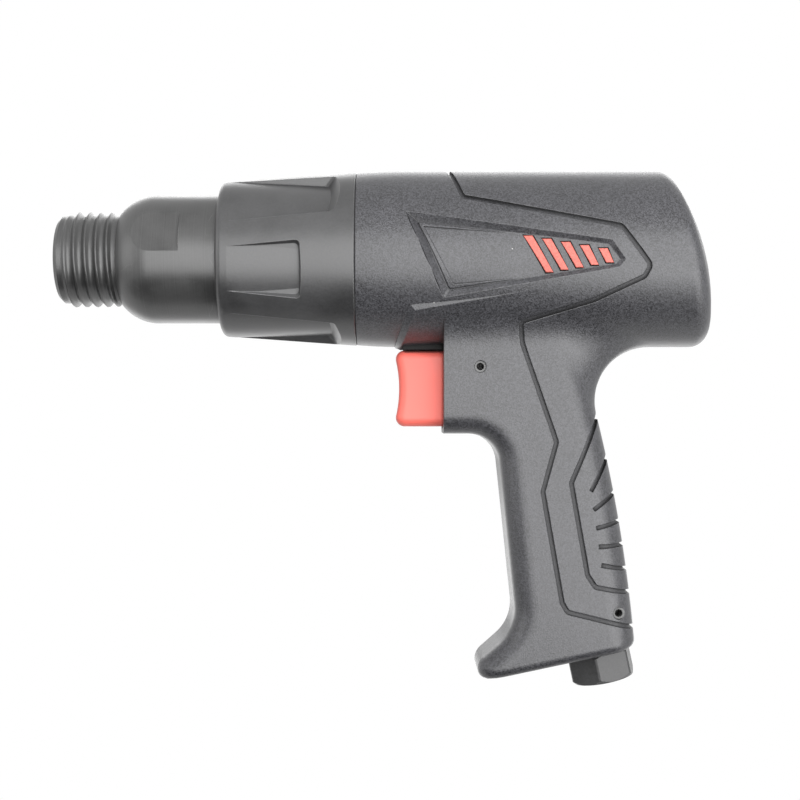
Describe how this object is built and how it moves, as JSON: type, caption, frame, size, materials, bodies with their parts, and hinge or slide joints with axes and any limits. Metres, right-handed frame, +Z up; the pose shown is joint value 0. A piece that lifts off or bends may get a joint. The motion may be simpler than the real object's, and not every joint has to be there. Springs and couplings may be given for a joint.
{
  "type": "air hammer",
  "caption": "Pistol-grip air hammer: threaded steel barrel and fluted front sleeve ahead of a moulded housing, with a sliding trigger, a striking piston and an air inlet in the foot.",
  "frame": {"origin": "centre of the muzzle, on the axis of the barrel", "axes": "-X out of the muzzle along the barrel, +X towards the rear of the housing, +Z up, with the grip hanging down towards -Z, and Y across the tool"},
  "size_m": [0.2091, 0.0566, 0.1659],
  "materials": {
    "housing_plastic": "fine moulded stipple",
    "sleeve_plastic": "smooth satin",
    "black_steel": "black oxide",
    "bright_steel": "ground",
    "aluminium": "turned",
    "red_plastic": "satin",
    "rubber": "matte",
    "brass": "turned"
  },
  "bodies": {
    "body": {"housing": "housing_plastic", "front_sleeve": "sleeve_plastic", "barrel": "black_steel", "inlet_bushing": "black_steel", "head_insert": "aluminium", "sleeve_gasket": "rubber", "barrel_seal": "rubber", "bush_seal": "rubber", "inlet_seal": "rubber", "rear_buffer": "rubber", "throttle_bush": "brass", "valve_front_plate": "bright_steel", "valve_rear_plate": "bright_steel", "valve_dowels": "bright_steel", "throttle_spring": "bright_steel", "inlet_screen": "bright_steel", "trigger_pin": "black_steel", "inlet_pin": "black_steel"},
    "trigger": {"trigger": "red_plastic", "throttle_stem": "bright_steel", "throttle_seal": "rubber"},
    "piston": {"piston": "bright_steel"},
    "valve_disc": {"valve_disc": "bright_steel"}
  },
  "joints": [
    {"name": "trigger_slide", "type": "slide", "parent": "body", "child": "trigger", "axis": [1, 0, 0], "range_m": [0, 0.005], "stiffness_N_per_m": 1500, "springref_m": -0.004, "deforming": ["throttle_spring"]},
    {"name": "piston_slide", "type": "slide", "parent": "body", "child": "piston", "axis": [-1, 0, 0], "range_m": [0, 0.0735]},
    {"name": "valve_disc_slide", "type": "slide", "parent": "body", "child": "valve_disc", "axis": [1, 0, 0], "range_m": [0, 0.0009]}
  ]
}
